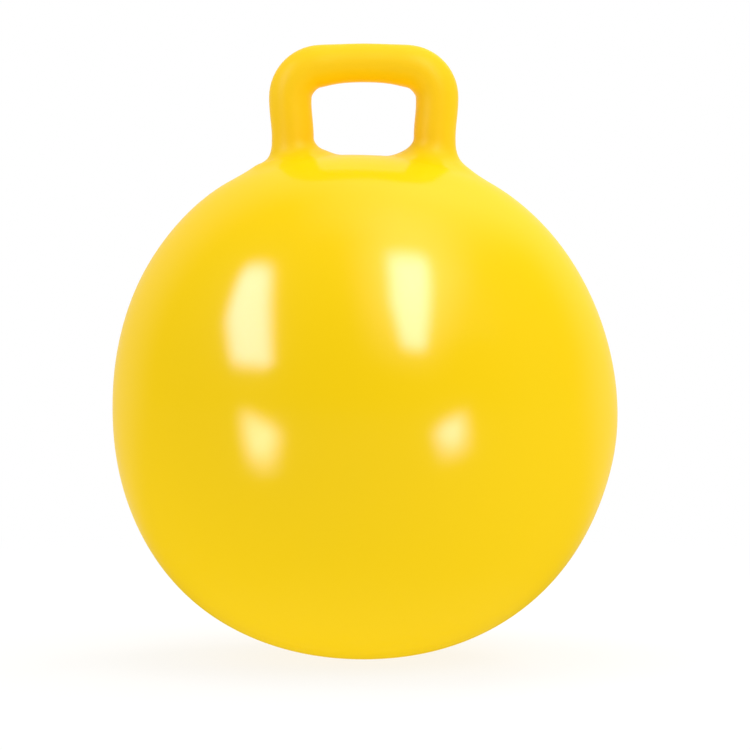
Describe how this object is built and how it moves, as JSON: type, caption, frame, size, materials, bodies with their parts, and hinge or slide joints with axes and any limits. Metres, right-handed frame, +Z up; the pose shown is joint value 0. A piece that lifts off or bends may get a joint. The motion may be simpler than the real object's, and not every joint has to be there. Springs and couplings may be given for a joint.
{
  "type": "hopper ball",
  "caption": "Inflated vinyl hopper ball with a closed loop handle moulded on top, a small floor flat and a push-in stopper in a sunk valve on the back.",
  "frame": {"origin": "centre of the floor flat under the ball", "axes": "+Z up through the handle, the handle's loop in the XZ plane, +Y out of the valve on the back"},
  "size_m": [0.45, 0.4497, 0.5496],
  "materials": {
    "ball_vinyl": "gloss",
    "handle_vinyl": "gloss",
    "seat_vinyl": "satin",
    "stopper_plastic": "satin"
  },
  "bodies": {
    "ball": {"ball_skin": "ball_vinyl", "handle": "handle_vinyl", "valve_seat": "seat_vinyl"},
    "stopper": {"valve_plug": "stopper_plastic"}
  },
  "joints": [
    {"name": "stopper_pull", "type": "slide", "parent": "ball", "child": "stopper", "axis": [0, 1, 0], "range_m": [0, 0.03]}
  ]
}
